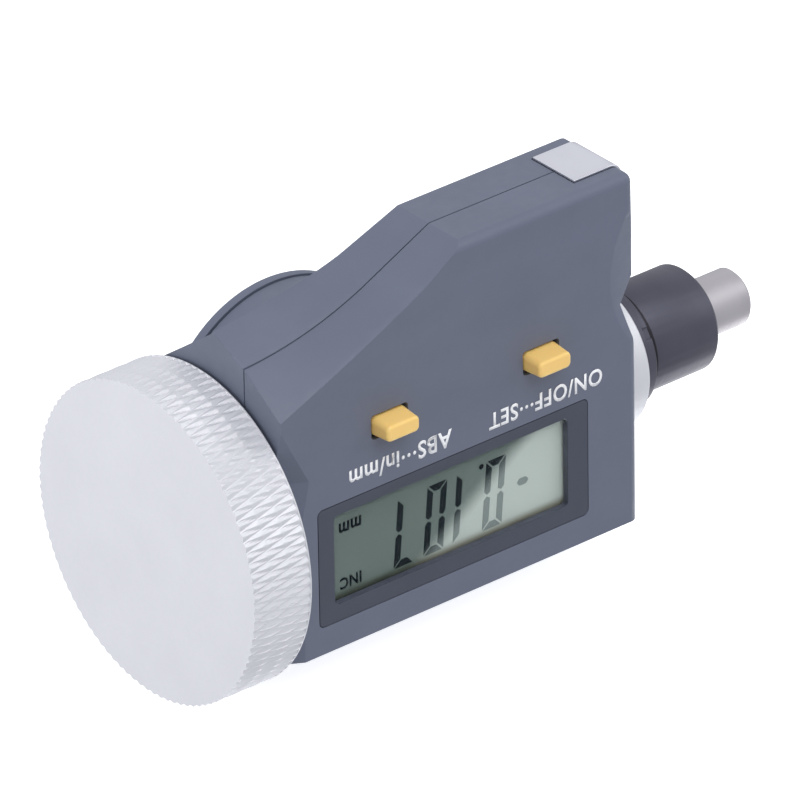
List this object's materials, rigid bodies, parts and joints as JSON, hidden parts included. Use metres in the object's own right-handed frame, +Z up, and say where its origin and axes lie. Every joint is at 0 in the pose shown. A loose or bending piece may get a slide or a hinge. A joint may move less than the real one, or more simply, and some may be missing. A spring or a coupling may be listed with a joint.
{
  "type": "digital micrometer head",
  "caption": "Digital micrometer head: a knurled thimble drives a sliding spindle through a mounting stem, with a display and buttons on a flat-sided housing.",
  "frame": {"origin": "on the spindle axis, at the inner end of the mounting stem's ground wall", "axes": "the spindle pushes out along -X and the thimble is at +X, the display faces -Y, +Z is up when the display is read"},
  "size_m": [0.0801, 0.036, 0.0471],
  "materials": {
    "housing_plastic": "fine matt texture",
    "bezel_plastic": "semi-gloss",
    "window": "clear",
    "lcd": "satin polariser",
    "inner_plastic": "moulded",
    "zebra_rubber": "silicone",
    "board": "solder mask",
    "chip": "epoxy",
    "spring_steel": "bright",
    "screw_steel": "zinc",
    "button_plastic": "satin",
    "port_metal": "satin",
    "gold": "plated",
    "flex": "polyimide",
    "battery_steel": "bright",
    "seal_rubber": "matt",
    "sleeve_steel": "ground",
    "stem_steel": "black oxide, satin",
    "satin_aluminium": "fine bead-blasted satin",
    "spindle_steel": "ground",
    "rotor": "etched board"
  },
  "bodies": {
    "housing": {"front_shell": "housing_plastic", "rear_shell": "housing_plastic", "display_bezel": "bezel_plastic", "display_window": "window", "lcd_panel": "lcd", "lcd_frame": "inner_plastic", "data_contact_block": "inner_plastic", "contact_strips": "zebra_rubber", "main_board": "board", "encoder_board": "board", "controller_chip": "chip", "button_domes": "spring_steel", "battery_contact_base": "spring_steel", "battery_contact_side": "spring_steel", "retaining_ring": "spring_steel", "preload_washer": "spring_steel", "guide_key": "spring_steel", "board_screws": "screw_steel", "case_screws": "screw_steel", "data_contact_pins": "gold", "data_flex": "flex", "battery": "battery_steel", "cover_seal": "seal_rubber", "spindle_sleeve": "sleeve_steel", "bearing_outer": "sleeve_steel", "bearing_balls": "sleeve_steel", "stem": "stem_steel", "stem_ring": "stem_steel", "stem_flange": "satin_aluminium"},
    "thimble": {"thimble": "satin_aluminium", "drive_nut": "sleeve_steel", "bearing_inner": "sleeve_steel", "encoder_rotor": "rotor"},
    "spindle": {"spindle": "spindle_steel", "spindle_tip": "spindle_steel"},
    "power_button": {"power_button": "button_plastic"},
    "mode_button": {"mode_button": "button_plastic"},
    "battery_cover": {"battery_cover": "housing_plastic"},
    "data_port_cover": {"data_port_cover": "port_metal"}
  },
  "joints": [
    {"name": "thimble_turn", "type": "hinge", "parent": "housing", "child": "thimble", "pos_m": [0.06, 0, 0], "axis": [-1, 0, 0], "range_deg": [0, 18000]},
    {"name": "spindle_slide", "type": "slide", "parent": "housing", "child": "spindle", "axis": [-1, 0, 0], "range_m": [0, 0.025]},
    {"name": "power_button_press", "type": "slide", "parent": "housing", "child": "power_button", "axis": [0, 1, 0], "range_m": [0, 0.0005], "stiffness_N_per_m": 600, "springref_m": -0.0005},
    {"name": "mode_button_press", "type": "slide", "parent": "housing", "child": "mode_button", "axis": [0, 1, 0], "range_m": [0, 0.0005], "stiffness_N_per_m": 600, "springref_m": -0.0005},
    {"name": "battery_cover_turn", "type": "hinge", "parent": "housing", "child": "battery_cover", "pos_m": [0.0369, 0.0118, -0.0018], "axis": [0, 1, 0], "range_deg": [0, 45]},
    {"name": "data_port_cover_slide", "type": "slide", "parent": "housing", "child": "data_port_cover", "axis": [-1, 0, 0], "range_m": [0, 0.007]}
  ],
  "couplings": [
    {"joint": "spindle_slide", "follows": "thimble_turn", "m_per_rad": 0.000079577}
  ]
}
